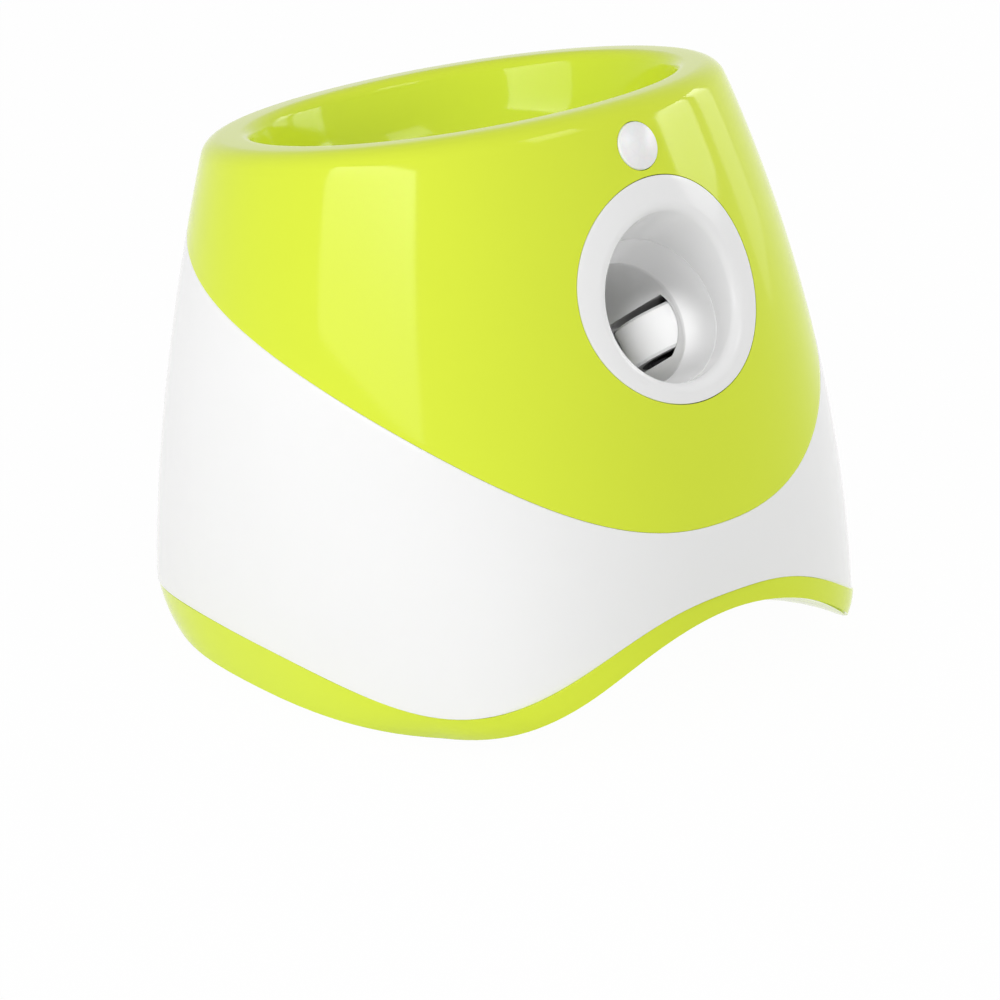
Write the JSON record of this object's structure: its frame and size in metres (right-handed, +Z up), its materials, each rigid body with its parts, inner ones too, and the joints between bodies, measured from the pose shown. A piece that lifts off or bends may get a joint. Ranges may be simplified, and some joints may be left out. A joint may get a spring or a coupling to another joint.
{
  "type": "automatic dog ball launcher",
  "caption": "Free-standing automatic ball launcher for dogs: funnel bowl on a flared housing, motorised gate, tilted spinning wheels and a round front muzzle.",
  "frame": {"origin": "on the floor under the middle of the body's footprint", "axes": "+Z up; -Y is the direction the ball is thrown; +X is the object's left-hand side seen from the front"},
  "size_m": [0.2622, 0.2818, 0.2396],
  "materials": {
    "lime_shell": "high gloss moulded ABS",
    "white_shell": "high gloss moulded ABS",
    "lens": "milky polyethylene dome",
    "sensor_can": "bright can",
    "circuit_board": "green solder mask",
    "screw_steel": "zinc plated",
    "barrel_white": "glossy moulded ABS",
    "inner_white": "satin moulded ABS",
    "wheel_rubber": "soft white tread",
    "wheel_hub": "glass filled nylon",
    "shaft_steel": "ground",
    "motor_can": "drawn can",
    "bronze": "sintered bronze",
    "gate_plastic": "acetal",
    "gearmotor": "satin",
    "switch_body": "satin",
    "frame_plastic": "satin moulded ABS",
    "battery_box": "satin moulded ABS",
    "cell_wrap": "plain film sleeve",
    "spring_steel": "nickel plated",
    "foot_rubber": "matt",
    "panel_white": "gloss",
    "button_grey": "satin",
    "indicator": "clear tinted",
    "socket_black": "satin",
    "components": "satin"
  },
  "bodies": {
    "housing": {"upper_shell": "lime_shell", "middle_shell": "white_shell", "base_tray": "lime_shell", "nozzle_bezel": "white_shell", "sensor_lens": "lens", "pir_sensor": "sensor_can", "sensor_circuit_board": "circuit_board", "sensor_screws": "screw_steel", "launch_barrel": "barrel_white", "barrel_screws": "screw_steel", "launch_housing_upper": "inner_white", "launch_housing_lower": "inner_white", "right_launch_motor": "motor_can", "left_launch_motor": "motor_can", "shaft_bushes": "bronze", "motor_screws": "screw_steel", "housing_screws": "screw_steel", "feed_channel_upper": "inner_white", "feed_channel_lower": "inner_white", "channel_screws": "screw_steel", "gate_pin": "shaft_steel", "gate_gearmotor": "gearmotor", "gearmotor_screws": "screw_steel", "ball_switch": "switch_body", "support_frame": "frame_plastic", "frame_screws": "screw_steel", "shell_screws": "screw_steel", "battery_box": "battery_box", "battery_box_screws": "screw_steel", "battery_cells": "cell_wrap", "battery_springs": "spring_steel", "battery_contacts": "spring_steel", "rubber_feet": "foot_rubber", "rear_control_panel": "panel_white", "indicator_windows": "indicator", "control_circuit_board": "circuit_board", "tact_switches": "components", "panel_screws": "screw_steel", "dc_socket": "socket_black", "main_circuit_board": "circuit_board", "board_screws": "screw_steel", "board_components": "components"},
    "right_wheel": {"right_wheel_shaft": "shaft_steel", "right_wheel_hub": "wheel_hub", "right_wheel_tyre": "wheel_rubber"},
    "left_wheel": {"left_wheel_shaft": "shaft_steel", "left_wheel_hub": "wheel_hub", "left_wheel_tyre": "wheel_rubber"},
    "gate": {"gate_lever": "gate_plastic"},
    "gate_drive": {"gate_pinion": "gate_plastic", "gate_output_shaft": "shaft_steel"},
    "feeler": {"ball_switch_lever": "gate_plastic"},
    "power_key": {"power_button": "button_grey"},
    "range_key": {"range_button": "button_grey"},
    "cover": {"battery_door": "lime_shell"}
  },
  "joints": [
    {"name": "right_wheel_spin", "type": "hinge", "parent": "housing", "child": "right_wheel", "pos_m": [0.051, -0.05978, 0.13177], "axis": [0, 0.5878, 0.809], "continuous": true},
    {"name": "left_wheel_spin", "type": "hinge", "parent": "housing", "child": "left_wheel", "pos_m": [-0.051, -0.05978, 0.13177], "axis": [0, 0.5878, 0.809], "continuous": true},
    {"name": "gate_swing", "type": "hinge", "parent": "housing", "child": "gate", "pos_m": [0.042, 0.00285, 0.1288], "axis": [0, 0, 1], "range_deg": [0, 70]},
    {"name": "gate_drive_spin", "type": "hinge", "parent": "housing", "child": "gate_drive", "pos_m": [0.066, 0.00285, 0.1288], "axis": [0, 0, 1], "range_deg": [-211, 0]},
    {"name": "feeler_swing", "type": "hinge", "parent": "housing", "child": "feeler", "pos_m": [-0.033, 0.02311, 0.13116], "axis": [0, 0, 1], "range_deg": [0, 10], "stiffness_Nm_per_rad": 0.01, "springref_deg": -5.73},
    {"name": "power_press", "type": "slide", "parent": "housing", "child": "power_key", "axis": [0, -1, 0], "range_m": [0, 0.0015], "stiffness_N_per_m": 600, "springref_m": -0.0005},
    {"name": "range_press", "type": "slide", "parent": "housing", "child": "range_key", "axis": [0, -1, 0], "range_m": [0, 0.0015], "stiffness_N_per_m": 600, "springref_m": -0.0005},
    {"name": "cover_slide", "type": "slide", "parent": "housing", "child": "cover", "axis": [0, 1, 0], "range_m": [0, 0.014]}
  ],
  "couplings": [
    {"joint": "gate_drive_spin", "follows": "gate_swing", "ratio": -3}
  ]
}
